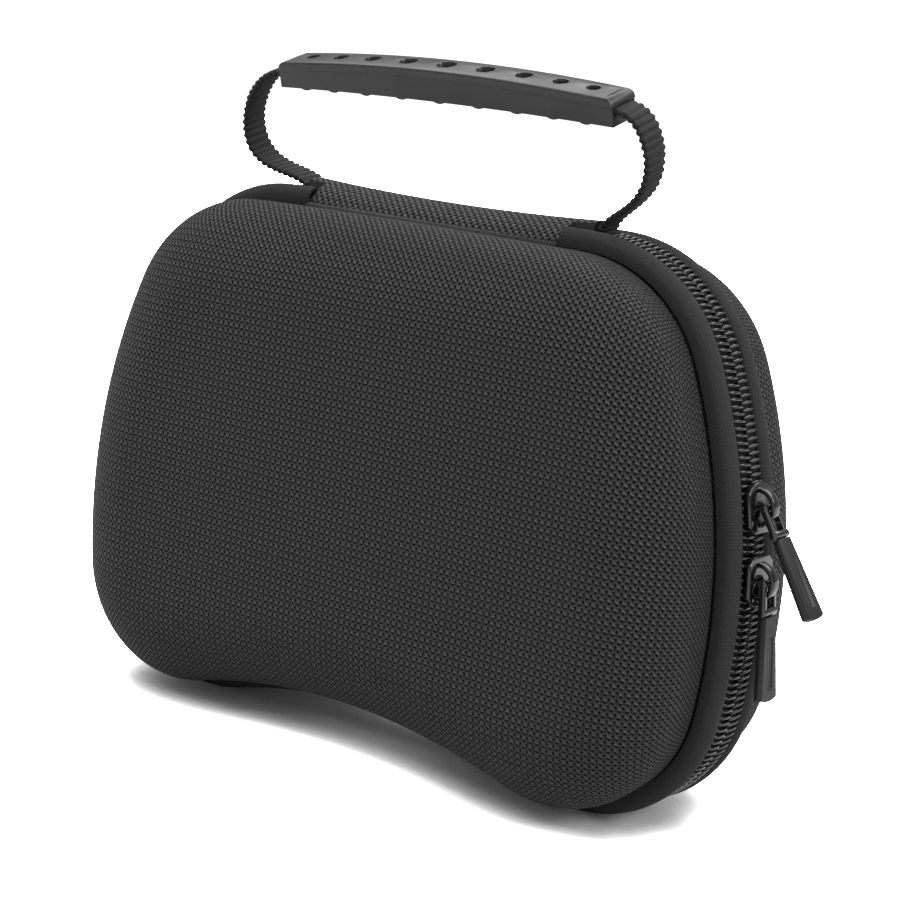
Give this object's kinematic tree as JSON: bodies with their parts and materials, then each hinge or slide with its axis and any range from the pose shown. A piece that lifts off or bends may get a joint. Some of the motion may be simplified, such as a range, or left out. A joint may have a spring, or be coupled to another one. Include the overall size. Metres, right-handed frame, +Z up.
{
  "type": "zip-up moulded carrying case with a webbing handle",
  "caption": "Black zip-up moulded case shaped for a game controller, with a rubber-gripped webbing handle.",
  "frame": {"origin": "floor point under the middle of all that the part spans, pulls included, on the zip plane", "axes": "+Z up, +Y from the zip plane through the back half, +X towards the zip pulls"},
  "size_m": [0.1949, 0.0674, 0.162],
  "materials": {
    "shell_weave": "woven ballistic cloth laminated to moulded foam",
    "spine_weave": "woven ballistic cloth over a foam core",
    "zip_tape": "smooth coated zip tape",
    "zip_coil": "nylon coil",
    "binding": "ribbed seam binding",
    "slider_metal": "black gloss die casting",
    "pull_plastic": "satin moulded tab",
    "webbing": "ribbed nylon webbing",
    "grip_rubber": "satin soft rubber",
    "mesh": "open knitted mesh",
    "elastic": "woven elastic"
  },
  "bodies": {
    "back_half": {"back_shell": "shell_weave", "back_zip_tape": "zip_tape", "back_zip_coil": "zip_coil", "back_seam_binding": "binding", "retaining_strap": "elastic"},
    "spine": {"hinge_spine": "spine_weave"},
    "front_half": {"front_shell": "shell_weave", "front_zip_tape": "zip_tape", "front_zip_coil": "zip_coil", "front_seam_binding": "binding", "mesh_pocket": "mesh", "pocket_hem": "elastic"},
    "handle": {"handle_webbing": "webbing", "handle_grip": "grip_rubber"},
    "upper_slide": {"upper_slider": "slider_metal"},
    "lower_slide": {"lower_slider": "slider_metal"},
    "upper_pull": {"upper_pull_stirrup": "slider_metal", "upper_pull_tab": "pull_plastic"},
    "lower_pull": {"lower_pull_stirrup": "slider_metal", "lower_pull_tab": "pull_plastic"}
  },
  "joints": [
    {"name": "spine_fold", "type": "hinge", "parent": "back_half", "child": "spine", "pos_m": [-0.00754, 0.00975, 0.1245], "axis": [-1, 0, 0], "range_deg": [0, 90]},
    {"name": "lid_fold", "type": "hinge", "parent": "spine", "child": "front_half", "pos_m": [-0.00754, -0.00975, 0.1245], "axis": [-1, 0, 0], "range_deg": [0, 90]},
    {"name": "handle_lean", "type": "hinge", "parent": "spine", "child": "handle", "pos_m": [-0.00754, 0, 0.1286], "axis": [1, 0, 0], "range_deg": [-27, 3], "stiffness_Nm_per_rad": 0.03},
    {"name": "upper_travel", "type": "hinge", "parent": "back_half", "child": "upper_slide", "pos_m": [-0.06304, 0, 0.048], "axis": [0, -1, 0], "range_deg": [0, 7.5]},
    {"name": "lower_travel", "type": "hinge", "parent": "back_half", "child": "lower_slide", "pos_m": [-0.06304, 0, 0.048], "axis": [0, -1, 0], "range_deg": [-7.7, 0]},
    {"name": "upper_pull_swing", "type": "hinge", "parent": "upper_slide", "child": "upper_pull", "pos_m": [0.08268, 0, 0.0758], "axis": [0, -1, 0], "range_deg": [-13, 130]},
    {"name": "lower_pull_swing", "type": "hinge", "parent": "lower_slide", "child": "lower_pull", "pos_m": [0.08485, 0, 0.05964], "axis": [0, -1, 0], "range_deg": [-5, 47]}
  ]
}
